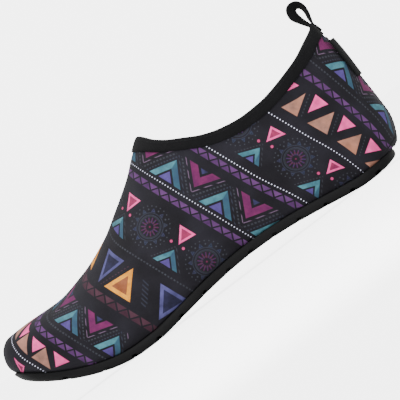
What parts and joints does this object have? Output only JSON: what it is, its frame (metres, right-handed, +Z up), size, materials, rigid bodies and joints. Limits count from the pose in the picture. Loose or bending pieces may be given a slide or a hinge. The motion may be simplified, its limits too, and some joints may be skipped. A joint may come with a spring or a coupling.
{
  "type": "water shoe",
  "caption": "Slip-on water shoe for the left foot: hollow stretch-fabric upper on a grooved rubber sole, with an elastic collar and a heel pull loop.",
  "frame": {"origin": "on the floor, under the middle of the whole shoe's box", "axes": "+X from the toe to the heel, +Y to the inner side of the left foot, +Z up"},
  "size_m": [0.2458, 0.0894, 0.1017],
  "materials": {
    "rubber_sole": "matte black moulded rubber",
    "printed_fabric": "thin stretch knit, printed with a bright geometric border pattern on near-black",
    "insole_foam": "fine dark cloth over thin foam",
    "elastic_binding": "matte black elastic tape, flat stitched",
    "loop_tape": "matte black woven tape",
    "tag_cloth": "satin black woven tape, blank"
  },
  "bodies": {
    "root": {"outsole": "rubber_sole", "upper": "printed_fabric", "insole": "insole_foam", "collar_binding": "elastic_binding", "pull_loop": "loop_tape", "side_tag": "tag_cloth"}
  },
  "joints": []
}
